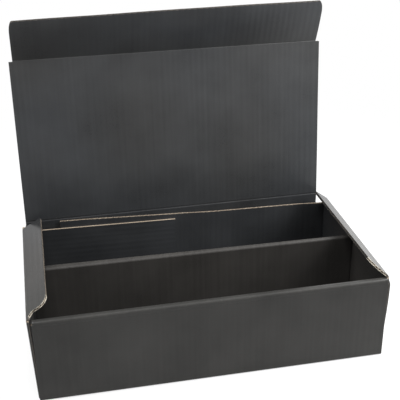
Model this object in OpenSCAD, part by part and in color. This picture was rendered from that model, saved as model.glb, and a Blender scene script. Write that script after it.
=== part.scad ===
// Bottle gift box: one die-cut sheet of corrugated board, folded into a tray for two lying bottles
// with a hinged lid, a tuck flap on the lid and a dust flap on each end wall.
// The sheet runs tuck flap, lid, back wall, base, front wall, over the front edge, inner front wall,
// compartment floor, doubled divider, compartment floor, inner back wall.

/* [Box] */
// Outside length of the box
box_length = 360; // [300:1:420]
// Outside depth of the box, front to back
box_w = 198; // [170:1:240]
// Height of the front wall, to the top of its fold
front_h = 93.5; // [80:0.5:120]
// Thickness of the corrugated board
board = 2.5; // [2:0.1:3]
// Outside radius of the folds at the base and the corners
fold_r = 2; // [1:0.1:2]
// Radius of the rolled edge along the top of the front wall
front_edge_r = 3; // [1.5:0.1:3]
// How far the front and back panels stop short of the end walls' outer faces
panel_inset = 0.5; // [0:0.1:2.2]
// Outward lean of the left end wall, in degrees
left_lean = 1.7; // [0:0.1:3]
// Outward lean of the right end wall, in degrees
right_lean = 0.7; // [0:0.1:3]

/* [Inside] */
// How far the divider stops below the front wall's top
divider_drop = 0.6; // [0.3:0.1:10]
// Space between the two layers of the divider
divider_slit = 0.8; // [0.4:0.1:3]
// Room at each end of the divider and of the inner walls
end_gap = 1; // [0.5:0.1:4]
// Gap between the ends of the two back ears
ear_gap = 14; // [10:1:80]
// How far the ears stop below the front wall's top, at the end walls
ear_drop = 4.2; // [2:0.1:20]
// How far the ears' top edges fall towards their free ends
ear_fall = 3.5; // [0:0.1:10]
// How far the inner back wall rises above the front wall's top at its left end
lining_rise = 3.4; // [0:0.1:5]
// How far the inner back wall falls below the front wall's top at its right end
lining_drop = 5.3; // [1:0.1:20]
// Width and depth of the notch at the top left corner of the inner back wall
lining_cut = 36; // [20:1:60]

/* [Lid] */
// Length of the lid, hinge to tuck fold
lid_d = 186.5; // [150:0.5:187]
// How far the lid stands in from each end of the box
lid_inset = 7.5; // [5:0.5:15]
// How far the lid sits to the left of the middle
lid_shift = 5.5; // [0:0.5:6]
// Lean of the open lid behind upright, in degrees
lid_lean = 6; // [0:1:40]
// Room between the closed dust flaps and the closed lid
lid_room = 1.5; // [0.5:0.1:3]

/* [Tuck flap] */
// Length of the tuck flap, fold to free edge
tuck_d = 51; // [30:1:70]
// How far the tuck flap stands in from each edge of the lid
tuck_inset = 3.5; // [1:0.1:10]
// How far the tuck flap is folded out of the lid's plane, in degrees
tuck_angle = 28; // [0:1:60]
// Radius of the tuck flap's corners
tuck_r = 14; // [4:1:25]
// How far the tuck flap's corner curve stands in at the free edge
tuck_taper = 4; // [0:0.5:10]

/* [Dust flaps] */
// Reach of the dust flaps, fold to free edge
dust_d = 22; // [18:1:25]
// Angle of the left dust flap above level, in degrees
left_dust_angle = 31; // [0:1:80]
// Angle of the right dust flap above level, in degrees
right_dust_angle = 37; // [0:1:80]
// Distance from the front of the box to the front end of the dust flaps' fold
dust_start = 4; // [3:0.5:10]
// Distance from the back of the box to the back end of the dust flaps' fold
dust_end = 11.5; // [5:0.5:20]
// How far the back end of a dust flap is cut away at its free edge
dust_back_cut = 0; // [0:1:20]
// Width of the rounding at the front corner of a dust flap, along its reach
dust_r = 9; // [2:1:12]
// Length of that rounding along the free edge
dust_corner_l = 12; // [2:1:20]

/* [Clearances] */
// Gap between panels that turn on each other at a fold
fold_gap = 0.25; // [0.2:0.05:0.5]
// Room between the closed tuck flap and the ends of the dust flaps
tuck_room = 0.6; // [0.3:0.1:2]

/* [Hidden] */
$fn = 48;

board_color = [0.13, 0.13, 0.14];
eps = 0.01;
half = board / 2;

left = -box_length / 2;
front = -box_w / 2;
back = box_w / 2;
inner_l = box_length - 2 * (board + end_gap);
panel_l = box_length - 2 * panel_inset;

// Three layers of board stand at the front and at the back: wall, ear and inner wall
wall_t = 3 * board;
floor_z = 2 * board;
divider_t = 2 * board + divider_slit;
divider_h = front_h - divider_drop;
ear_h = front_h - ear_drop;

// Fold axes run through the middle of the board
end_top = front_h;
dust_rise = end_top + fold_gap + half - fold_r;
lid_axis_y = back - half;
lid_axis_z = end_top + fold_gap + half + board + lid_room;
lid_l = box_length - 2 * lid_inset;
tuck_l = lid_l - 2 * tuck_inset;

// The closed tuck flap hangs from the lid's front edge, and the dust flaps end behind it
tuck_closed_y = lid_axis_y - lid_d;
dust_shoulder = tuck_closed_y + half + tuck_room;
dust_relief = -lid_shift - tuck_l / 2 - dust_axis_x(left_lean) - tuck_room;

// Place of a left dust flap's fold axis over an end wall that leans on the fold at its foot
function dust_axis_x(lean) = left + fold_r + (half - fold_r) * cos(lean) - dust_rise * sin(lean);
function dust_axis_z(lean) = fold_r + (half - fold_r) * sin(lean) + dust_rise * cos(lean);

// A board standing on a fold: bottom outer corner rounded, thickness towards +X, height along +Y
module folded_board_2d(h) {
  translate([fold_r, fold_r]) circle(fold_r);
  translate([fold_r, 0]) square([board - fold_r + eps, h]);
  translate([0, fold_r]) square([board, h - fold_r]);
}

// Rectangle with its two upper corners rounded
module round_top_2d(w, h, r) {
  square([w, h - r]);
  translate([r, 0]) square([w - 2 * r, h]);
  for (x = [r, w - r]) translate([x, h - r]) circle(r);
}

// Strip centred on the upright axis, with a fully round top
module rolled_edge_2d(w, h) {
  translate([-w / 2, 0]) square([w, h - w / 2]);
  translate([0, h - w / 2]) circle(w / 2);
}

// Outline in the Y and Z directions, drawn out along X from x0
module along_x(x0, length) {
  translate([x0, 0, 0]) rotate([90, 0, 90]) linear_extrude(length) children();
}

// Outline in the X and Z directions, drawn out along Y from y0
module along_y(y0, length) {
  translate([0, y0 + length, 0]) rotate([90, 0, 0]) linear_extrude(length) children();
}

module base() {
  translate([left + fold_r, front + fold_r, 0])
    cube([box_length - 2 * fold_r, box_w - 2 * fold_r, board]);
}

// Outer front panel, whose cut ends leave the end walls' corners bare, and the roll over its top
module front_wall() {
  along_x(left + panel_inset, panel_l) translate([front, 0]) folded_board_2d(front_h - front_edge_r);
  along_x(-inner_l / 2, inner_l) translate([front, board])
    round_top_2d(wall_t, front_h - board, front_edge_r);
}

// Outer back panel, with a narrower strip above the end walls that carries the lid
module back_wall() {
  along_x(left + panel_inset, panel_l) mirror([1, 0]) translate([-back, 0]) folded_board_2d(end_top);
  strip_top = lid_axis_z - half - fold_gap;
  translate([-lid_l / 2 - lid_shift, back - board, end_top - eps])
    cube([lid_l, board, strip_top - end_top + eps]);
}

// Left end wall between the front and back panels, with its rounded corners where the ears turn in
module end_wall(lean) {
  wall_l = box_w - 2 * board;
  translate([left + fold_r, 0, fold_r]) rotate([0, -lean, 0]) translate([-left - fold_r, 0, -fold_r])
    intersection() {
      along_y(front + board, wall_l) translate([left, 0]) folded_board_2d(end_top);
      union() {
        for (y = [front + board + fold_r, back - board - fold_r])
          translate([left + fold_r, y, 0]) cylinder(r = fold_r, h = end_top);
        translate([left, front + board + fold_r, 0]) cube([board, wall_l - 2 * fold_r, end_top]);
        translate([left + fold_r, front + board, 0]) cube([board - fold_r, wall_l, end_top]);
      }
    }
}

// Ear of a left end wall, from the leaning wall to a straight end at x1, of height h there
module ear_2d(x1, h, lean) {
  wall_x = left + half - (ear_h - fold_r) * tan(lean);
  polygon([[left + half, board], [x1, board], [x1, h], [wall_x, ear_h]]);
}

// Ends of the front ears before they go into the roll of the front wall
module front_ears() {
  along_y(front + board - eps, board) ear_2d(-inner_l / 2 + board, ear_h, left_lean);
  mirror([1, 0, 0]) along_y(front + board - eps, board) ear_2d(-inner_l / 2 + board, ear_h, right_lean);
}

// Left ear in front of the inner back wall, right ear behind it
module back_ears() {
  free_h = ear_h - ear_fall;
  along_y(back - wall_t, board) ear_2d(-ear_gap / 2, free_h, left_lean);
  along_y(back - wall_t, wall_t + eps) ear_2d(left + board, ear_h, left_lean);
  mirror([1, 0, 0]) along_y(back - 2 * board, board + eps) ear_2d(-ear_gap / 2, free_h, right_lean);
}

// Inner back wall: behind the left ear, stepping forward between the ears, then before the right ear
module lining() {
  x0 = -inner_l / 2;
  x1 = -ear_gap / 2;
  x2 = ear_gap / 2;
  x3 = inner_l / 2;
  y0 = back - 2 * board;
  y1 = back - wall_t;
  top_left = min(front_h + lining_rise, lid_axis_z - half - fold_gap);
  top_right = front_h - lining_drop;
  intersection() {
    linear_extrude(top_left)
      polygon([[x0, y0], [x1, y0], [x2, y1], [x3, y1], [x3, y1 + board], [x2, y1 + board], [x1, y0 + board],
               [x0, y0 + board]]);
    along_y(back - wall_t - board, wall_t + board)
      polygon([[x0, board], [x3, board], [x3, top_right], [x0 + lining_cut, top_left],
               [x0 + lining_cut, top_left - lining_cut], [x0, top_left - lining_cut]]);
  }
}

module floor_panels() {
  translate([-inner_l / 2, front + board, board - eps])
    cube([inner_l, box_w - wall_t, board + eps]);
}

// Two layers of board with a rolled edge at the top
module divider() {
  difference() {
    along_x(-inner_l / 2, inner_l) translate([0, board]) rolled_edge_2d(divider_t, divider_h - board);
    along_x(-inner_l, 2 * inner_l) translate([0, floor_z])
      rolled_edge_2d(divider_slit, divider_h - board - floor_z);
  }
}

module carton() {
  color(board_color) {
    base();
    front_wall();
    back_wall();
    end_wall(left_lean);
    mirror([1, 0, 0]) end_wall(right_lean);
    front_ears();
    back_ears();
    lining();
    floor_panels();
    divider();
  }
}

// Flat panel seen along its thickness, with the round back of its fold at the origin
module panel_section_2d(length) {
  circle(half);
  translate([-half, 0]) square([board, length]);
}

module lid() {
  color(board_color)
    translate([-lid_shift, lid_axis_y, lid_axis_z]) rotate([-lid_lean, 0, 0])
      along_x(-lid_l / 2, lid_l) panel_section_2d(lid_d - half - fold_gap);
}

// Straight sides that turn in to the free edge on a long curve, then a small corner
module tuck_outline_2d() {
  straight = tuck_d - tuck_r;
  side_curve = [for (i = [0:12]) let (a = i * 90 / 12)
    [tuck_l / 2 - tuck_taper * (1 - cos(a)), straight + tuck_r * sin(a)]];
  polygon(concat([[-tuck_l / 2, 0], [tuck_l / 2, 0]], side_curve,
    [for (i = [12:-1:0]) [-side_curve[i][0], side_curve[i][1]]]));
}

module tuck_flap() {
  color(board_color)
    translate([-lid_shift, lid_axis_y, lid_axis_z]) rotate([-lid_lean, 0, 0])
      translate([0, 0, lid_d]) rotate([tuck_angle, 0, 0]) {
        rotate([0, 90, 0]) translate([0, 0, -tuck_l / 2]) cylinder(r = half, h = tuck_l);
        rotate([90, 0, 0]) translate([0, 0, -half]) linear_extrude(board) tuck_outline_2d();
      }
}

// Flat outline of the left dust flap: reach along X from the fold, Y as in the box
module dust_outline_2d() {
  fold_front = front + dust_start;
  fold_back = back - dust_end;
  corner = [dust_d - dust_r, dust_shoulder + dust_corner_l];
  round_front = [for (i = [0:8]) let (a = -90 + i * 90 / 8)
    corner + [dust_r * cos(a), dust_corner_l * sin(a)]];
  polygon(concat([[0, fold_back], [0, fold_front], [dust_relief, dust_shoulder]], round_front,
    [[dust_d, fold_back - dust_back_cut]]));
}

module dust_flap(lean, angle) {
  fold_l = box_w - dust_start - dust_end;
  color(board_color)
    translate([dust_axis_x(lean), 0, dust_axis_z(lean)]) rotate([0, -angle, 0]) {
      translate([0, back - dust_end, 0]) rotate([90, 0, 0]) cylinder(r = half, h = fold_l);
      translate([0, 0, -half]) linear_extrude(board) dust_outline_2d();
    }
}

module left_dust_flap() {
  dust_flap(left_lean, left_dust_angle);
}

module right_dust_flap() {
  mirror([1, 0, 0]) dust_flap(right_lean, right_dust_angle);
}

carton();
lid();
tuck_flap();
left_dust_flap();
right_dust_flap();
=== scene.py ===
"""Looks of the folded bottle gift box: fluted board panels, fold strips, floor, light and camera."""
import math

import bmesh
import bpy
import numpy as np
from mathutils import Matrix, Vector


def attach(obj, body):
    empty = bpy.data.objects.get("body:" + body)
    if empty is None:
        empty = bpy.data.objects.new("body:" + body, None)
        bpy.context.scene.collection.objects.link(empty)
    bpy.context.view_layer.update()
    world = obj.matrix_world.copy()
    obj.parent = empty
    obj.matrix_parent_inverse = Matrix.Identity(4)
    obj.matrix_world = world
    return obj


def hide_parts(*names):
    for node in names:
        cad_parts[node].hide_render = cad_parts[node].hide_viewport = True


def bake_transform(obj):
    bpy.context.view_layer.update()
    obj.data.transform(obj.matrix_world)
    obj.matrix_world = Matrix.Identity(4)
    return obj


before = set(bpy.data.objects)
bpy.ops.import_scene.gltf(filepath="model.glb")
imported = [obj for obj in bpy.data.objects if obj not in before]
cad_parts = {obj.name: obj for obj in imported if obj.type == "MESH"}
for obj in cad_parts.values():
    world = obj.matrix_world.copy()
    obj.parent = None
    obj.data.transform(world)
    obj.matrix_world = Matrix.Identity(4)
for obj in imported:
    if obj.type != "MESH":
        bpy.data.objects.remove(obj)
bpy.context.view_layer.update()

# Sizes of the sheet are in millimetres, as in the part's source or fitted closer to the photo
MM = 0.001

# Points closer than the seam, in metres, become one, and edges that turn by more than the angle stay sharp
SEAM, SHARP_DEG = 2e-6, 32

# Board: its flutes, liners and core, and the small gaps that keep the papers of a drawn edge apart
THICK = 2.5
HALF = THICK / 2
PITCH, STEPS_PER_FLUTE = 6.4, 8
LINER_T, CORE_T, CORE_GAP = 0.35, 0.3, 0.03
PLUG_INSET, PLUG_GAP = 0.2, 0.02

# Box: outer faces, fold radii, ends of the long panels, and stacked layers of board
LEFT, FRONT, BACK, TOP = -180.0, -99.0, 99.0, 93.5
FOLD_R, INNER_FOLD_R, FRONT_R = 2.0, 1.2, 3.0
PANEL_END, ROLL_END, INNER_END = 179.5, 179.0, 176.5
FLOOR_TOP, WALL_T = 2 * THICK, 3 * THICK
LAYER_GAP, FOLD_GAP = 0.1, 0.25

# Lid and tuck flap: the line of the tuck fold lies lower than its joint by the drop
LID_AXIS = np.array([0.0, BACK - HALF, TOP + 5.5])
LID_X, LID_HALF, LID_D = -5.8, 173.0, 186.5
TUCK_HALF, TUCK_D, TUCK_R, TUCK_TAPER = 169.0, 51.0, 14.0, 4.0
TUCK_CUT, TUCK_CUT_START = 2.6, 10.0
TUCK_SLOPE, TUCK_BOW = 0.0686, 0.0015
LEAN_DEG, TUCK_BEND_DEG = 6, 28
LEAN, TUCK_BEND = math.radians(LEAN_DEG), math.radians(TUCK_BEND_DEG)
TUCK_LEAN = LEAN - TUCK_BEND
TUCK_FOLD = LID_AXIS + LID_D * np.array([0.0, math.sin(LEAN), math.cos(LEAN)])
FOLD_DROP = 1.8
FOLD_ALONG, FOLD_BACK = FOLD_DROP * math.cos(TUCK_BEND), FOLD_DROP * math.sin(TUCK_BEND)

# Dust flaps: the tuck room is what the closed tuck flap needs to pass them
TUCK_ROOM = 0.6
DUST_FRONT, DUST_BACK = FRONT + 4, BACK - 11.5
DUST_SHOULDER = LID_AXIS[1] - LID_D + HALF + TUCK_ROOM
DUST_RISE = TOP + FOLD_GAP + HALF - FOLD_R
DUST_R, DUST_CORNER = 9.0, 12.0
DUST_CURL, DUST_CURL_LENGTH = 0.0012, 70.0

# Bulge of an end wall below its front top corner: how far it reaches back, rises and fades at the top
BULGE_LENGTH, BULGE_HEIGHT, BULGE_FADE = 45.0, 75.0, 9.0

# Creases: reach of a fold's strip before and behind the fold line, depths, and widths of bend, dent and wear
LID_CREASE, TUCK_CREASE, DUST_CREASE = (2.5, 2.5), (1.5, 2.5), (1.5, 2.0)
LID_CRUSH, TUCK_CRUSH, DUST_CRUSH = 0.42, 0.35, 0.25
BEND_HALF, DENT_WIDTH, RUB_WIDTH = 1.1, 0.75, 1.0
STRIP_POINTS, STRIP_STEP = 19, 3.0

# Materials by their place in the list BOARD, and that of a liner's rim beside each kind of cut
LINER, KRAFT, DULL, OUTER, TORN = range(5)
RIM = {LINER: LINER, KRAFT: DULL, DULL: LINER, TORN: TORN}


def smooth(x):
    """Eases from 0 to 1."""
    x = np.clip(x, 0, 1)
    return x * x * (3 - 2 * x)


def direction(degrees):
    """Unit vector at an angle in a plane."""
    angle = math.radians(degrees)
    return np.array([math.cos(angle), math.sin(angle)])


def arc(cy, cz, r, a0, a1, n=8):
    """Points on an arc, angles in degrees."""
    a = np.radians(np.linspace(a0, a1, n))
    return [(cy + r * math.cos(t), cz + r * math.sin(t)) for t in a]


def constant(value):
    """The same value at every place across the flutes."""
    return lambda u: np.full_like(u, value)


class Side:
    """An end of the box, drawn as the left one: way is -1 for the right one, which is mirrored.
    lean is its wall's outward lean, rise its dust flap's angle above level, twist a small outward shift
    of its top edge at the front and back, foot the share of it at the base, bulge one of its front corner,
    depth the flap's depth, back_cut what its back end lacks at its fold and tip, and rim the material of
    its free edge; on the right flap that is the black liner, painted shade on a cut that gets less light."""

    def __init__(self, name, way, lean, rise, twist, foot, bulge, depth, back_cut, rim):
        self.name, self.way, self.lean, self.rise = name, way, lean, rise
        self.foot, self.bulge = foot, bulge
        self.depth, self.back_cut, self.rim = depth, back_cut, rim
        self.twist = lambda y: np.interp(y, [FRONT, BACK], twist)
        self.c, self.s = direction(lean)
        self.fold_x = LEFT + FOLD_R - (FOLD_R - HALF) * self.c - DUST_RISE * self.s
        self.fold_z = FOLD_R - (FOLD_R - HALF) * self.s + DUST_RISE * self.c
        self.relief = way * LID_X - TUCK_HALF - self.fold_x - TUCK_ROOM

    def wall(self, x, z, y):
        """Turns an upright left wall out on the fold at its foot."""
        dx, dz = x - LEFT - FOLD_R, z - FOLD_R
        out = self.twist(y) * (self.foot + (1 - self.foot) * np.clip(z / TOP, 0, 1))
        swell = self.bulge * np.exp(-((y - FRONT) / BULGE_LENGTH) ** 2)
        out = out + swell * smooth(z / BULGE_HEIGHT) * smooth((TOP - z) / BULGE_FADE)
        across = LEFT + FOLD_R + dx * self.c - dz * self.s - out
        height = FOLD_R + dx * self.s + dz * self.c
        return np.stack([self.way * across, y, height], -1)

    def at_fold(self, a, b, y):
        """Point at a inwards and b upwards from the dust flap's fold line."""
        return np.stack([self.way * (self.fold_x + a - self.twist(y)), y, self.fold_z + b], -1)

    def flap(self, u, v, w):
        """Point of the dust flap: u from its fold, v from front to back and w above its middle."""
        c, s = direction(self.rise)
        w = w - DUST_CURL * u * u * np.sin(v / DUST_CURL_LENGTH)
        return self.at_fold(u * c - w * s, u * s + w * c, v)


SIDES = (
    Side("left", way=1, lean=1.7, rise=31, twist=(1.7, 0.5), foot=0.3, bulge=0.0,
         depth=23.3, back_cut=(0.0, 0.0), rim=DULL),
    # The right flap's free edge takes the black liner instead of brown board: painted shade on a cut that
    # gets less light
    Side("right", way=-1, lean=0.7, rise=38.5, twist=(0.0, -2.9), foot=0.0, bulge=2.6,
         depth=19.8, back_cut=(1.5, 3.5), rim=LINER),
)


# The four edges of a grid of points: first and last row, first and last column
CUTS = (np.s_[0, :], np.s_[-1, :], np.s_[:, 0], np.s_[:, -1])


class Shell:
    """Collects faces, each with its material and board coordinates, and becomes one object."""

    def __init__(self):
        self.points, self.uvs, self.worn = [], [], []
        self.faces, self.mats = [], []
        self.count = 0

    def add(self, p, uv, worn):
        """Keeps points with their board coordinates and wear, and says where they start."""
        start = self.count
        self.points.append(p)
        self.uvs.append(uv)
        self.worn.append(worn)
        self.count += len(p)
        return start

    def grid(self, p, uv, mats, worn=None):
        """Rows of points joined into quads. mats is one material, or one for each step along the rows."""
        n, k = p.shape[:2]
        worn = np.zeros((n, k)) if worn is None else worn
        start = self.add(p.reshape(-1, 3), uv.reshape(-1, 2), worn.reshape(-1))
        i = start + np.arange(n * k).reshape(n, k)
        quads = np.stack([i[:-1, :-1], i[1:, :-1], i[1:, 1:], i[:-1, 1:]], -1)
        self.faces += quads.reshape(-1, 4).tolist()
        per_row = np.broadcast_to(np.asarray(mats), (n - 1,))
        self.mats += np.repeat(per_row, k - 1).tolist()

    def between(self, first, second, uv, mats):
        """Closes the four cuts between two grids of points, each with its own material."""
        for cut, mat in zip(CUTS, mats):
            self.grid(np.stack([first[cut], second[cut]]), np.stack([uv[cut], uv[cut]]), mat)

    def cap(self, p, uv, mat):
        """One flat face."""
        start = self.add(p, uv, np.zeros(len(p)))
        self.faces.append(list(range(start, start + len(p))))
        self.mats.append(mat)

    def object(self, name, materials):
        """The finished piece, in metres, with its seams joined and its edges sharp where they turn."""
        mesh = bpy.data.meshes.new(name)
        points = np.concatenate(self.points) * MM
        mesh.from_pydata(points.tolist(), [], self.faces)
        mesh.polygons.foreach_set("material_index", self.mats)
        for m in materials:
            mesh.materials.append(m)
        uvs, layer = np.concatenate(self.uvs), mesh.uv_layers.new(name="board")
        loops = np.zeros(len(mesh.loops), np.int32)
        mesh.loops.foreach_get("vertex_index", loops)
        layer.data.foreach_set("uv", uvs[loops].astype(np.float32).ravel())
        worn = mesh.attributes.new("worn", "FLOAT", "POINT")
        worn.data.foreach_set("value", np.concatenate(self.worn).astype(np.float32))
        bm = bmesh.new()
        bm.from_mesh(mesh)
        bmesh.ops.remove_doubles(bm, verts=bm.verts, dist=SEAM)
        bmesh.ops.recalc_face_normals(bm, faces=bm.faces)
        bm.to_mesh(mesh)
        bm.free()
        mesh.polygons.foreach_set("use_smooth", [True] * len(mesh.polygons))
        mesh.set_sharp_from_angle(angle=math.radians(SHARP_DEG))
        obj = bpy.data.objects.new(name, mesh)
        bpy.context.scene.collection.objects.link(obj)
        return obj


def panel(shell, us, low, high, place, rows, closed=(True, True), edges=(KRAFT,) * 4,
          faces=(LINER, LINER), ripple=0.012, core=KRAFT):
    """A flat board: two liners with the fluted core between them, open where the flutes are cut across.
    us run across the flutes, low(u) to high(u) along them, and place(u, v, w) puts a point in the frame.
    edges are the materials of the cuts at the first u, the last u, low and high, faces those at +w and -w,
    and core that of the paper between the liners. closed says which of the first two cuts are filled."""
    a = np.linspace(0, 1, rows)
    v = low(us)[:, None] * (1 - a) + high(us)[:, None] * a
    u = us[:, None] + 0 * v
    uv = np.stack([u, v], -1)
    flute = np.cos(2 * math.pi * u / PITCH)
    inside = HALF - LINER_T
    for side, face in zip((1, -1), faces):
        outer = place(u, v, side * HALF + ripple * flute)
        inner = place(u, v, side * inside + 0 * u)
        shell.grid(outer, uv, face)
        shell.grid(inner, uv, core)
        shell.between(outer, inner, uv, [RIM[mat] for mat in edges])
    wave = (inside - CORE_T / 2 - CORE_GAP) * flute
    low_side, high_side = place(u, v, wave - CORE_T / 2), place(u, v, wave + CORE_T / 2)
    shell.grid(low_side, uv, core)
    shell.grid(high_side, uv, core)
    shell.between(low_side, high_side, uv, edges)
    for end, step, wanted, mat in zip((0, -1), (PLUG_INSET, -PLUG_INSET), closed, edges):
        if wanted:
            plug_u, plug_v = u[end] + step, v[end]
            heights = (-inside + PLUG_GAP, 0.0, inside - PLUG_GAP)
            plug = [place(plug_u, plug_v, np.full_like(plug_u, w)) for w in heights]
            shell.grid(np.stack(plug), np.stack([uv[end]] * len(heights)), mat)


def flute_steps(lo, hi, extra=()):
    """Places across the flutes."""
    n = max(3, int((hi - lo) / PITCH * STEPS_PER_FLUTE) + 1)
    return np.unique(np.round(np.concatenate([np.linspace(lo, hi, n), extra]), 4))


def prism(shell, ring, mats, a0, a1, place, across="length", worn=None, steps=1, shift=None):
    """A closed outline drawn out from a0 to a1, with a material for each step round it.
    across says if the flutes are counted along that length or round the ring. shift bends the outline."""
    ring = np.array(ring + [ring[0]], float)
    run = np.concatenate([[0], np.cumsum(np.linalg.norm(np.diff(ring, axis=0), axis=1))])
    a = np.linspace(a0, a1, steps + 1)
    along = np.broadcast_to(a, (len(ring), len(a)))
    first, second = (ring[:, k][:, None] + 0 * along for k in (0, 1))
    if shift is not None:
        first, second = shift(first, second, along)
    p = place(first, second, along)
    around = run[:, None] + 0 * along
    uv = np.stack([along, around] if across == "length" else [around, along], -1)
    wear = None if worn is None else np.broadcast_to(np.append(worn, worn[0])[:, None], along.shape)
    shell.grid(p, uv, mats, wear)
    for end in (0, -1):
        shell.cap(p[:-1, end], uv[:-1, end], DULL)


def across_box(y, z, x):
    """Places an outline that is drawn in the box's cross section."""
    return np.stack([x, y, z], -1)


def fold_strip(name, reach, bend, span, place, across, crush, faces):
    """The creased board at a fold, as a closed strip. reach is how far it goes before and behind the fold
    line, and span where it starts and ends along that line. bend gives the two directions of the board in
    degrees, in the plane that place draws in, and faces the materials to the left and right of them. crush
    is the depth of the crease."""
    before, behind = reach
    s = np.linspace(-before, behind, STRIP_POINTS)
    angle = np.radians(bend[0] + (bend[1] - bend[0]) * smooth((s + BEND_HALF) / (2 * BEND_HALF)))
    middle = (angle[1:] + angle[:-1]) / 2
    p = np.zeros((len(s), 2))
    p[0] = -before * direction(bend[0])
    steps = np.diff(s)[:, None] * np.stack([np.cos(middle), np.sin(middle)], -1)
    p[1:] = p[0] + np.cumsum(steps, 0)
    p += (s - s[0])[:, None] / (s[-1] - s[0]) * (behind * direction(bend[1]) - p[-1])
    normal = np.stack([-np.sin(angle), np.cos(angle)], -1)
    a = np.linspace(*span, max(2, int((span[1] - span[0]) / STRIP_STEP)))
    uneven = 1 + 0.18 * np.sin(a * 0.11 + 1.3) + 0.12 * np.sin(a * 0.37)
    dent = crush * np.exp(-(s / DENT_WIDTH) ** 2)[:, None] * uneven
    wear = np.broadcast_to(np.exp(-(s / RUB_WIDTH) ** 2)[:, None], dent.shape)
    along = np.broadcast_to(a, dent.shape)
    around = np.broadcast_to(s[:, None], dent.shape)
    uv = np.stack([along, around] if across == "length" else [around, along], -1)
    shell = Shell()
    sides = []
    for side, face in zip((1, -1), faces):
        h = side * (HALF - dent)
        q = p[:, None, :] + normal[:, None, :] * h[..., None]
        sides.append(place(q[..., 0], q[..., 1], along))
        shell.grid(sides[-1], uv, face, wear)
    shell.between(*sides, uv, (DULL,) * 4)
    return shell.object(name, BOARD)


# Node helpers

def new_material(name):
    mat = bpy.data.materials.new(name)
    mat.use_nodes = True
    return mat, mat.node_tree, mat.node_tree.nodes["Principled BSDF"]


def link(tree, a, b):
    tree.links.new(a, b)


def object_place(tree):
    """Place on the object, in metres."""
    return tree.nodes.new("ShaderNodeTexCoord").outputs["Object"]


def axis_of(tree, vector, axis):
    n = tree.nodes.new("ShaderNodeSeparateXYZ")
    link(tree, vector, n.inputs[0])
    return n.outputs[axis]


def calc(tree, op, a, b=None):
    n = tree.nodes.new("ShaderNodeMath")
    n.operation = op
    for socket, value in zip(n.inputs, (a, b)):
        if value is None:
            continue
        if isinstance(value, (int, float)):
            socket.default_value = value
        else:
            link(tree, value, socket)
    return n.outputs[0]


def weighted(tree, *terms):
    """Sum of values, each times its weight."""
    parts = [calc(tree, "MULTIPLY", value, weight) for value, weight in terms]
    total = parts[0]
    for part in parts[1:]:
        total = calc(tree, "ADD", total, part)
    return total


def noise(tree, vector, scale, detail=3.0, rough=0.55):
    n = tree.nodes.new("ShaderNodeTexNoise")
    n.inputs["Scale"].default_value = scale
    n.inputs["Detail"].default_value = detail
    n.inputs["Roughness"].default_value = rough
    link(tree, vector, n.inputs["Vector"])
    return n.outputs["Fac"]


def stretched(tree, vector, scale):
    n = tree.nodes.new("ShaderNodeVectorMath")
    n.operation = "MULTIPLY"
    n.inputs[1].default_value = scale
    link(tree, vector, n.inputs[0])
    return n.outputs[0]


def ramp(tree, fac, stops):
    """Colours at places from 0 to 1, with even steps between them."""
    n = tree.nodes.new("ShaderNodeValToRGB")
    link(tree, fac, n.inputs["Fac"])
    elements = n.color_ramp.elements
    while len(elements) < len(stops):
        elements.new(0.5)
    for element, (position, colour) in zip(elements, stops):
        element.position = position
        element.color = (*colour, 1.0)
    return n.outputs["Color"]


def mix_color(tree, fac, a, b, blend="MIX"):
    n = tree.nodes.new("ShaderNodeMix")
    n.data_type = "RGBA"
    n.blend_type = blend
    for socket, value in ((n.inputs[0], fac), (n.inputs[6], a), (n.inputs[7], b)):
        if isinstance(value, (int, float)):
            socket.default_value = value
        elif isinstance(value, tuple):
            socket.default_value = (*value, 1.0)
        else:
            link(tree, value, socket)
    return n.outputs[2]


def mix_shader(tree, fac, first, second):
    n = tree.nodes.new("ShaderNodeMixShader")
    for socket, value in zip(n.inputs, (fac, first, second)):
        link(tree, value, socket)
    return n.outputs[0]


def scaled(tree, value, low, high):
    n = tree.nodes.new("ShaderNodeMapRange")
    n.inputs["To Min"].default_value = low
    n.inputs["To Max"].default_value = high
    link(tree, value, n.inputs["Value"])
    return n.outputs["Result"]


def bumpy(tree, bsdf, height, strength, distance):
    bump = tree.nodes.new("ShaderNodeBump")
    bump.inputs["Strength"].default_value = strength
    bump.inputs["Distance"].default_value = distance
    link(tree, height, bump.inputs["Height"])
    link(tree, bump.outputs["Normal"], bsdf.inputs["Normal"])


def seen_directly(tree):
    """1 for rays from the camera and from glossy surfaces, or else 0."""
    path = tree.nodes.new("ShaderNodeLightPath")
    return calc(tree, "MAXIMUM", path.outputs["Is Camera Ray"], path.outputs["Is Glossy Ray"])


# Board materials: their tint is painted light and shade by depth in the box. It is warm at the front, warmer
# and lighter inside as painted bounce light, cooler and darker at the back as painted shade, and even at the
# lid's top

PAINTED_LIGHT_TINTS = (
    (0.0, (1.0, 0.985, 0.93)),
    (0.45, (1.15, 1.08, 1.01)),
    (0.87, (0.93, 0.98, 1.05)),
    (0.99, (1.01, 1.0, 0.98)),
)
PAINTED_LIGHT_PER_METRE, PAINTED_LIGHT_MIDDLE, PAINTED_LIGHT_CLOUDS = 4.5, 0.3, 0.3
PRINT_DARK, PRINT_PALE, RUBBED = 0.022, 0.041, (0.125, 0.118, 0.108)


def grey(value):
    return (value,) * 3


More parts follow.
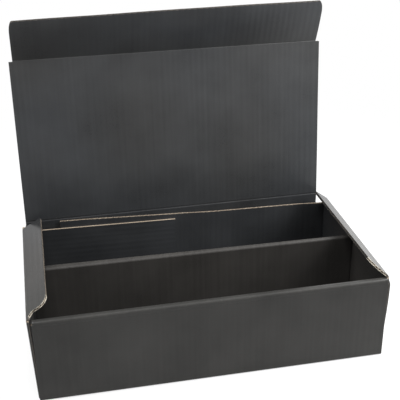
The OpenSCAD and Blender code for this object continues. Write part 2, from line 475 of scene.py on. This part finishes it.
def liner_material(name, shade, rough):
    """Black printed paper over flutes: faint streaks along the flutes, fibres, scuffs on the folds, and a
    tint of painted light and shade by its depth in the box.
    shade is its lightness against the inner liner's, and rough the range of its roughness."""
    mat, tree, bsdf = new_material(name)
    board = tree.nodes.new("ShaderNodeUVMap")
    board.uv_map = "board"
    sheet = board.outputs["UV"]
    where = object_place(tree)
    flute = calc(tree, "COSINE", calc(tree, "MULTIPLY", axis_of(tree, sheet, "X"), 2 * math.pi / PITCH))
    streak = noise(tree, stretched(tree, sheet, (0.31, 0.006, 1.0)), 1.0, 2.0)
    cloud = noise(tree, where, 17.0, 3.0)
    broad = noise(tree, where, 5.0, 1.0)
    fibre = noise(tree, stretched(tree, sheet, (1.6, 0.5, 1.0)), 1.0, 4.0, 0.7)
    speck = noise(tree, where, 1900.0, 2.0, 0.6)
    tone = weighted(tree, (streak, 0.22), (cloud, 0.6), (fibre, 0.18), (flute, 0.012))
    black = ramp(tree, tone, [(0.30, grey(PRINT_DARK * shade)), (0.70, grey(PRINT_PALE * shade))])
    # Painted light and shade: the tint turns warmer and lighter inside the box and cooler and darker at its
    # back
    depth = weighted(tree, (axis_of(tree, where, "Y"), PAINTED_LIGHT_PER_METRE), (broad, PAINTED_LIGHT_CLOUDS))
    painted_light = ramp(tree, calc(tree, "ADD", depth, PAINTED_LIGHT_MIDDLE), PAINTED_LIGHT_TINTS)
    colour = mix_color(tree, 1.0, black, painted_light, "MULTIPLY")
    worn = tree.nodes.new("ShaderNodeAttribute")
    worn.attribute_name = "worn"
    worn = worn.outputs["Fac"]
    rub = ramp(tree, noise(tree, where, 260.0, 4.0, 0.7), [(0.42, grey(0.0)), (0.68, grey(1.0))])
    amount = calc(tree, "MULTIPLY", calc(tree, "MULTIPLY", worn, rub), 0.12)
    link(tree, mix_color(tree, amount, colour, RUBBED), bsdf.inputs["Base Color"])
    gloss = scaled(tree, weighted(tree, (fibre, 0.6), (cloud, 0.4)), *rough)
    matt = calc(tree, "ADD", gloss, calc(tree, "MULTIPLY", worn, 0.35))
    link(tree, matt, bsdf.inputs["Roughness"])
    bsdf.inputs["IOR"].default_value = 1.45
    bsdf.inputs["Specular IOR Level"].default_value = 0.25
    height = weighted(tree, (flute, 0.25), (fibre, 0.35), (speck, 0.25))
    bumpy(tree, bsdf, height, 0.5, 0.00008)
    return mat


def kraft_material(name, dark, pale):
    """Raw brown paper at the cut edges."""
    mat, tree, bsdf = new_material(name)
    where = object_place(tree)
    grain = noise(tree, where, 700.0, 4.0, 0.7)
    patch = noise(tree, where, 45.0, 2.0)
    tone = weighted(tree, (grain, 0.6), (patch, 0.4))
    link(tree, ramp(tree, tone, [(0.30, dark), (0.70, pale)]), bsdf.inputs["Base Color"])
    link(tree, scaled(tree, grain, 0.75, 0.95), bsdf.inputs["Roughness"])
    bumpy(tree, bsdf, grain, 0.4, 0.0001)
    return mat


BOARD = [
    liner_material("inner_liner", 1.0, (0.22, 0.36)),
    kraft_material("raw_edge", (0.20, 0.15, 0.105), (0.42, 0.35, 0.27)),
    kraft_material("dull_edge", (0.055, 0.047, 0.040), (0.13, 0.112, 0.094)),
    liner_material("outer_liner", 0.85, (0.15, 0.27)),
    kraft_material("torn_edge", (0.42, 0.38, 0.31), (0.70, 0.66, 0.57)),
]

# Carton: wrap of back wall, base and front wall, with the strip that carries the lid and a notch beside it

carton = Shell()


def wrap_ring(front_top, back_top):
    """Cross section of the wrap, from the front wall's top to the back wall's, and back inside."""
    ring = [(FRONT + THICK, front_top), (FRONT, front_top)]
    ring += arc(FRONT + FOLD_R, FOLD_R, FOLD_R, 180, 270) + arc(BACK - FOLD_R, FOLD_R, FOLD_R, 270, 360)
    ring += [(BACK, back_top), (BACK - THICK, back_top), (BACK - THICK, THICK), (FRONT + THICK, THICK)]
    front_cut, back_cut = 0, -4
    mats = np.full(len(ring), OUTER)
    mats[back_cut:] = LINER
    mats[[front_cut, back_cut]] = DULL
    return ring, mats


ROLL_START, ROLL_SPRING = 85.0, TOP - FRONT_R
STRIP_TOP, NOTCH_TOP = LID_AXIS[2] - LID_CREASE[0], TOP - 9.5
strip_left, strip_right = LID_X - LID_HALF, LID_X + LID_HALF
for x0, x1, front_top, back_top in (
    (-PANEL_END, -ROLL_END, ROLL_SPRING, TOP),
    (-ROLL_END, strip_left, ROLL_START, TOP),
    (strip_left, strip_right, ROLL_START, STRIP_TOP),
    (strip_right, ROLL_END, ROLL_START, NOTCH_TOP),
    (ROLL_END, PANEL_END, ROLL_SPRING, NOTCH_TOP),
):
    ring, mats = wrap_ring(front_top, back_top)
    prism(carton, ring, mats, x0, x1, across_box)

# Inner sheet: roll over the front edge, inner front wall, floor, doubled divider, floor

DIVIDER_TOP, DIVIDER_R, SLIT_R = TOP - 0.6, 2.9, 0.4
DIVIDER_REACH, DIVIDER_OPENING, DIVIDER_PUSH, DIVIDER_SINK = 4.2, 0.6, 4.0, 0.5
ROLL_POINTS, RIDGE_POINTS, SLIT_POINTS, FOLD_POINTS = 9, 17, 7, 6
ROLL_WEAR_EDGE = 0.3
ridge_z = DIVIDER_TOP - DIVIDER_R
sheet_low = THICK + LAYER_GAP
roll_under = TOP - THICK - 0.3
front_inside, back_inside = FRONT + WALL_T, BACK - WALL_T
layer_front, layer_back = FRONT + THICK + LAYER_GAP, FRONT + 2 * THICK + LAYER_GAP


def floor_fold(y, a0, a1):
    """Fold between a floor and an upright panel."""
    return arc(y, FLOOR_TOP + INNER_FOLD_R, INNER_FOLD_R, a0, a1, FOLD_POINTS)


over = [(FRONT, ROLL_START)]
over += arc(FRONT + FRONT_R, ROLL_SPRING, FRONT_R, 180, 90, ROLL_POINTS)
over += arc(front_inside - FRONT_R, ROLL_SPRING, FRONT_R, 90, 0, ROLL_POINTS)
floor_front = floor_fold(front_inside + INNER_FOLD_R, 180, 270)
floor_front += floor_fold(-DIVIDER_R - INNER_FOLD_R, 270, 360)
ridge = arc(0, ridge_z, DIVIDER_R, 180, 0, RIDGE_POINTS)
floor_back = floor_fold(DIVIDER_R + INNER_FOLD_R, 180, 270) + [(back_inside, FLOOR_TOP)]
under = [(back_inside, sheet_low), (SLIT_R, sheet_low)]
under += arc(0, ridge_z, SLIT_R, 0, 180, SLIT_POINTS)
under += [(-SLIT_R, sheet_low), (layer_back, sheet_low), (layer_back, roll_under)]
under += [(layer_front, roll_under), (layer_front, ROLL_START)]
ring = over + floor_front + ridge + floor_back + under
mats = np.full(len(ring), LINER)
mats[:ROLL_POINTS - 1] = OUTER
wear = np.zeros(len(ring))
wear[1:1 + ROLL_POINTS] = np.sin(np.linspace(ROLL_WEAR_EDGE, math.pi, ROLL_POINTS))
wear[1 + ROLL_POINTS:len(over)] = np.sin(np.linspace(0, math.pi - ROLL_WEAR_EDGE, ROLL_POINTS))
ridge_at = len(over) + len(floor_front)
wear[ridge_at:ridge_at + RIDGE_POINTS] = np.sin(np.linspace(0, math.pi, RIDGE_POINTS))
roll_ring = over + [(front_inside, ROLL_START)]
roll_mats, roll_wear = mats[:len(roll_ring)], wear[:len(roll_ring)]
for x0, x1 in ((-ROLL_END, -INNER_END), (INNER_END, ROLL_END)):
    prism(carton, roll_ring, roll_mats, x0, x1, across_box, worn=roll_wear)


def pressed(y, z, x):
    """Presses the divider back and opens its fold a little at its left end, and lowers its right end."""
    inside = (np.abs(y) < DIVIDER_REACH) & (z > FLOOR_TOP)
    part = np.where(inside, (z - FLOOR_TOP) / (DIVIDER_TOP - FLOOR_TOP), 0)
    left = part * (INNER_END - x) / (2 * INNER_END)
    return y * (1 + DIVIDER_OPENING * left) + DIVIDER_PUSH * left, z - DIVIDER_SINK * (part - left)


prism(carton, ring, mats, -INNER_END, INNER_END, across_box, worn=wear, steps=40, shift=pressed)

# End walls, standing on folds at the base, with round corners where their ears turn in

WALL_END = BACK - THICK
CORNER_START = WALL_END - FOLD_R
FOOT_X, WALL_INSIDE = LEFT + 2.3, LEFT + THICK
CORNER_LEAST = 0.3


def end_ring():
    """Cross section of the upright left wall, with closer steps at its top, where a bulge fades."""
    heights = np.concatenate([np.linspace(10, TOP - 10, 8), np.linspace(TOP - 8, TOP, 5)])
    ring = [(FOOT_X, 0)] + arc(LEFT + FOLD_R, FOLD_R, FOLD_R, 270, 180)
    ring += [(LEFT, z) for z in heights]
    inside = len(ring)
    ring += [(WALL_INSIDE, z) for z in heights[::-1]] + [(WALL_INSIDE, THICK), (FOOT_X, THICK)]
    mats = np.full(len(ring), OUTER)
    mats[inside - 1] = KRAFT
    mats[inside:] = LINER
    return ring, mats


def round_ends(x, z, y):
    """Rounds the outer face at the box's upright corners."""
    past = np.clip(np.abs(y) - CORNER_START, 0, FOLD_R)
    inset = FOLD_R - np.sqrt(FOLD_R ** 2 - past ** 2)
    return np.where(x < WALL_INSIDE - 0.1, np.minimum(x + inset, WALL_INSIDE - CORNER_LEAST), x), z


ring, mats = end_ring()
for side in SIDES:
    for y0, y1, steps in (
        (-WALL_END, -CORNER_START, 6),
        (-CORNER_START, CORNER_START, 16),
        (CORNER_START, WALL_END, 6),
    ):
        prism(carton, ring, mats, y0, y1, side.wall, across="ring", steps=steps, shift=round_ends)

# Inner back wall, stepping forward between the ears: places on its top edge and heights over TOP

EAR_END, EAR_TOP, EAR_FALL = 7.0, TOP - 4.2, 3.5
LINING_STEP = 50.0
LINING_X = (-140.6, -140.5, -110, -12, 40, 146, INNER_END)
LINING_TOP = (-32.6, 3.2, 2.4, -1.9, -3.0, -4.8, -6.6)


def lining_top(x):
    return TOP + np.interp(x, LINING_X, LINING_TOP)


def lining_place(u, v, w):
    """Behind the left ear, then one board further forward, before the right one."""
    y = BACK - 1.5 * THICK - THICK * smooth((u + EAR_END) / LINING_STEP)
    return np.stack([u, y - w, v], -1)


panel(carton, flute_steps(-INNER_END, INNER_END, LINING_X), constant(FLOOR_TOP), lining_top,
      lining_place, rows=3)

# Ears: the left back one before the inner back wall, the right one behind it, and two in the front wall

EAR_LAP, EAR_SHIFT, RIGHT_EAR_DROP = 0.2, 0.05, 4.0


def ear(y, x_end, side, top, fall):
    """An ear at y, from its end wall to x_end, whose top edge falls by the given amount."""
    def place(u, v, w):
        z = u * (1 - fall / top * (v - LEFT) / (x_end - LEFT))
        return np.stack([side.way * v, y - w, z], -1)

    def start(u):
        return WALL_INSIDE - EAR_LAP - (u - FOLD_R) * side.s

    panel(carton, flute_steps(FLOOR_TOP, top), start, constant(x_end), place, rows=3)


ear(back_inside + HALF - EAR_SHIFT, -EAR_END, SIDES[0], EAR_TOP, EAR_FALL)
ear(BACK - 2 * THICK + HALF, -EAR_END, SIDES[1], EAR_TOP - RIGHT_EAR_DROP, EAR_FALL)
for side in SIDES:
    ear(FRONT + THICK + HALF, -INNER_END + THICK, side, EAR_TOP, 0.0)

carton_obj = carton.object("carton_board", BOARD)
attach(carton_obj, "carton")
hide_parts("carton")

# Lid

def leaning(base, lean, u, v, w):
    """Point u along the lid's width, v up from a fold at base in a plane that leans back, w before it."""
    c, s = math.cos(lean), math.sin(lean)
    return np.stack([u + LID_X, base[1] + v * s - w * c, base[2] + v * c + w * s], -1)


def lid_place(u, v, w):
    """The lid bows in waves of under 1 mm, and leans a little further back to the lowered tuck fold."""
    waves = 0.5 * np.sin(u / 61 + 0.6) + 0.35 * np.sin(u / 23 + v / 40)
    bow = 4 * (v / LID_D) * (1 - v / LID_D) * waves
    return leaning(LID_AXIS, LEAN, u, v, w + bow - FOLD_BACK * v / LID_D)


lid = Shell()
panel(lid, flute_steps(-LID_HALF, LID_HALF), constant(LID_CREASE[1]),
      constant(LID_D - FOLD_ALONG - TUCK_CREASE[0]), lid_place, rows=16, edges=(DULL,) * 4,
      faces=(LINER, OUTER), ripple=0.02, core=DULL)
lid_obj = lid.object("lid_board", BOARD)
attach(lid_obj, "lid")
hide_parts("lid")

# Tuck flap

def tuck_place(u, v, w):
    """The tuck flap bows between its fold and its free edge, which is a little wavy."""
    waves = (v / TUCK_D) * (0.25 * np.sin(u / 45 + 2) + 0.15 * np.sin(u / 17))
    return leaning(TUCK_FOLD, TUCK_LEAN, u, v, w + waves + TUCK_SLOPE * v - TUCK_BOW * v * v)


def tuck_high(u):
    """Free edge of the tuck flap, with round corners, and cut shallower towards its left end."""
    d = np.clip((TUCK_HALF - np.abs(u)) / TUCK_TAPER, 0, 1)
    cut = TUCK_CUT * np.clip((TUCK_CUT_START - u) / (TUCK_HALF + TUCK_CUT_START), 0, 1)
    return TUCK_D - TUCK_R + TUCK_R * np.sqrt(1 - (1 - d) ** 2) - cut


curve = TUCK_HALF - TUCK_TAPER * (1 - np.cos(np.radians(np.linspace(0, 90, 14))))
tuck = Shell()
panel(tuck, flute_steps(-TUCK_HALF, TUCK_HALF, np.concatenate([curve, -curve])),
      constant(TUCK_CREASE[1] - FOLD_DROP), tuck_high, tuck_place, rows=12, edges=(DULL,) * 4,
      faces=(LINER, OUTER), core=DULL)
tuck_obj = tuck.object("tuck_board", BOARD)
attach(tuck_obj, "tuck_flap")
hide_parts("tuck_flap")

# Dust flaps

def dust_flap(side):
    """A dust flap with a round front corner and a relief for the closed tuck flap at its front end."""
    bend = side.depth - DUST_R
    corner = bend + DUST_R * np.sin(np.radians(np.linspace(0, 90, 16)))

    def low(u):
        slope = np.interp(u, [0, side.relief], [DUST_FRONT, DUST_SHOULDER])
        past = np.clip((u - bend) / DUST_R, 0, 1)
        return slope + DUST_CORNER * (1 - np.sqrt(1 - past ** 2))

    def high(u):
        return DUST_BACK - np.interp(u, [0, side.depth], side.back_cut)

    flap = Shell()
    us = flute_steps(DUST_CREASE[1], side.depth, np.append(corner, side.relief))
    panel(flap, us, low, high, side.flap, rows=24, closed=(False, True),
          edges=(DULL, side.rim, TORN, DULL), faces=(OUTER, LINER), ripple=0.03)
    return flap


for side in SIDES:
    flap = dust_flap(side)
    obj = flap.object(side.name + "_dust_board", BOARD)
    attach(obj, side.name + "_dust_flap")
    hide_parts(side.name + "_dust_flap")

# Creased folds at the lid, the tuck flap and the dust flaps

UPRIGHT = 90
LID_WAY = UPRIGHT - LEAN_DEG
TUCK_WAY = LID_WAY + TUCK_BEND_DEG
ACROSS_LID, ACROSS_SIDE = (1, 2), (0, 2)


def along_lid(y, z):
    """Places a strip's outline about a line along the lid's width."""
    return lambda a, b, x: np.stack([x + LID_X, y + a, z + b], -1)


def bend_with(obj, base, plane, angle, back, ahead):
    """Bakes the strip's transform into its mesh; the two ends it works out, from back before base to ahead
    of it at an angle in a plane, are not used.
    """
    ends = []
    for reach in (-back, ahead):
        p = np.array(base, float)
        p[list(plane)] += direction(angle) * reach
        ends.append(tuple(p * MM))
    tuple(ends[0])
    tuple(ends[1])
    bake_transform(obj)


bend = (UPRIGHT, LID_WAY)
on_lid_axis = along_lid(LID_AXIS[1], LID_AXIS[2])
hinge = fold_strip("lid_crease", LID_CREASE, bend, (-LID_HALF, LID_HALF), on_lid_axis, "length",
                   LID_CRUSH, (LINER, OUTER))
bend_with(hinge, LID_AXIS, ACROSS_LID, sum(bend) / 2, back=2.3, ahead=2.3)

bend = (LID_WAY, TUCK_WAY)
on_tuck_fold = along_lid(TUCK_FOLD[1] - FOLD_DROP * math.sin(TUCK_LEAN),
                         TUCK_FOLD[2] - FOLD_DROP * math.cos(TUCK_LEAN))
crease = fold_strip("tuck_crease", TUCK_CREASE, bend, (-TUCK_HALF, TUCK_HALF), on_tuck_fold, "length",
                    TUCK_CRUSH, (LINER, OUTER))
bend_with(crease, TUCK_FOLD, ACROSS_LID, sum(bend) / 2, back=3.0, ahead=0.6)

for side in SIDES:
    bend = (UPRIGHT + side.lean, side.rise)
    span = (DUST_FRONT, DUST_BACK - side.back_cut[0])
    obj = fold_strip(side.name + "_dust_crease", DUST_CREASE, bend, span, side.at_fold, "ring",
                     DUST_CRUSH, (OUTER, LINER))
    middle = sum(bend) / 2
    angle = middle if side.way > 0 else 2 * UPRIGHT - middle
    base = (side.way * side.fold_x, 0, side.fold_z)
    bend_with(obj, base, ACROSS_SIDE, angle, back=0.8, ahead=1.25)

# Floor, in metres: pale paper that fades into the white behind it

WHITE = (1.0, 1.0, 1.0, 1.0)
FLOOR_R, FLOOR_SEGMENTS, FLOOR_DROP = 0.8, 96, 0.0004
FADE_START, FADE_END = 0.32, 0.75


def floor_material():
    """White paper, lit up where it is seen directly, and clear towards its rim."""
    mat, tree, bsdf = new_material("pale_floor")
    where = object_place(tree)
    grain = noise(tree, where, 30.0, 2.0)
    link(tree, ramp(tree, grain, [(0.3, grey(0.93)), (0.7, grey(0.95))]), bsdf.inputs["Base Color"])
    bsdf.inputs["Roughness"].default_value = 1.0
    bsdf.inputs["Specular IOR Level"].default_value = 0.0
    reach = tree.nodes.new("ShaderNodeVectorMath")
    reach.operation = "LENGTH"
    link(tree, where, reach.inputs[0])
    fade = tree.nodes.new("ShaderNodeMapRange")
    fade.interpolation_type = "SMOOTHSTEP"
    fade.inputs["From Min"].default_value = FADE_START
    fade.inputs["From Max"].default_value = FADE_END
    link(tree, reach.outputs["Value"], fade.inputs["Value"])
    white = tree.nodes.new("ShaderNodeEmission")
    white.inputs["Color"].default_value = WHITE
    clear = tree.nodes.new("ShaderNodeBsdfTransparent")
    lit = calc(tree, "MULTIPLY", seen_directly(tree), 0.7)
    pale = mix_shader(tree, lit, bsdf.outputs[0], white.outputs[0])
    both = mix_shader(tree, fade.outputs["Result"], pale, clear.outputs[0])
    link(tree, both, tree.nodes["Material Output"].inputs["Surface"])
    return mat


bm = bmesh.new()
bmesh.ops.create_circle(bm, cap_ends=True, segments=FLOOR_SEGMENTS, radius=FLOOR_R)
floor_mesh = bpy.data.meshes.new("floor")
bm.to_mesh(floor_mesh)
bm.free()
floor_mesh.materials.append(floor_material())
floor_obj = bpy.data.objects.new("floor", floor_mesh)
floor_obj.location = (0, 0, -FLOOR_DROP)
bpy.context.scene.collection.objects.link(floor_obj)

# Light: a white world that lights less than it shows, and soft lamps, in metres and watts

WORLD_LIGHT = 0.44

world = bpy.data.worlds.new("studio")
bpy.context.scene.world = world
world.use_nodes = True
tree = world.node_tree
lights = tree.nodes["Background"]
lights.inputs["Color"].default_value = WHITE
lights.inputs["Strength"].default_value = WORLD_LIGHT
shows = tree.nodes.new("ShaderNodeBackground")
shows.inputs["Color"].default_value = WHITE
shows.inputs["Strength"].default_value = 1.0
either = mix_shader(tree, seen_directly(tree), lights.outputs[0], shows.outputs[0])
link(tree, either, tree.nodes["World Output"].inputs["Surface"])


def softbox(name, place, target, size, watts):
    data = bpy.data.lights.new(name, "AREA")
    data.shape = "RECTANGLE"
    data.size, data.size_y = size
    data.energy = watts
    obj = bpy.data.objects.new(name, data)
    obj.location = place
    obj.rotation_euler = (Vector(target) - Vector(place)).to_track_quat("-Z", "Y").to_euler()
    bpy.context.scene.collection.objects.link(obj)


softbox("right", place=(0.45, -0.15, 0.6), target=(0.1, 0, 0.1), size=(0.3, 0.3), watts=3.2)
softbox("side", place=(0.5, -0.1, 0.4), target=(0.15, 0.1, 0.2), size=(0.25, 0.25), watts=3.4)
softbox("above", place=(-0.2, -0.35, 1.2), target=(0, 0, 0.1), size=(0.35, 0.35), watts=6.6)
softbox("left", place=(-0.9, 0.1, 0.8), target=(0.15, 0, 0.1), size=(0.6, 0.6), watts=7.0)
softbox("back", place=(-0.1, 1.3, 0.8), target=(0, 0, 0.1), size=(1.6, 0.6), watts=5)

# Camera, fitted to the photograph: focal length in its pixels, angles, and place in metres

PHOTO_SIZE, FOCAL = 400, 866.2
SENSOR = 36
AZIMUTH, DROP, ROLL = math.radians(11.51), math.radians(26.77), math.radians(0.49)
EYE = Vector((-0.1578, -0.7950, 0.5642))
ahead = Vector((math.sin(AZIMUTH) * math.cos(DROP), math.cos(AZIMUTH) * math.cos(DROP), -math.sin(DROP)))
level = Vector((math.cos(AZIMUTH), -math.sin(AZIMUTH), 0))
below = ahead.cross(level)
right = math.cos(ROLL) * level + math.sin(ROLL) * below
below = -math.sin(ROLL) * level + math.cos(ROLL) * below
camera_data = bpy.data.cameras.new("camera")
camera_data.sensor_width = SENSOR
camera_data.lens = FOCAL / PHOTO_SIZE * SENSOR
camera_data.clip_start = 0.01
camera = bpy.data.objects.new("camera", camera_data)
turn = Matrix((right, -below, -ahead)).transposed().to_4x4()
camera.matrix_world = Matrix.Translation(EYE) @ turn
bpy.context.scene.collection.objects.link(camera)
bpy.context.scene.camera = camera
bpy.context.scene.view_settings.view_transform = "Standard"

bpy.context.view_layer.update()
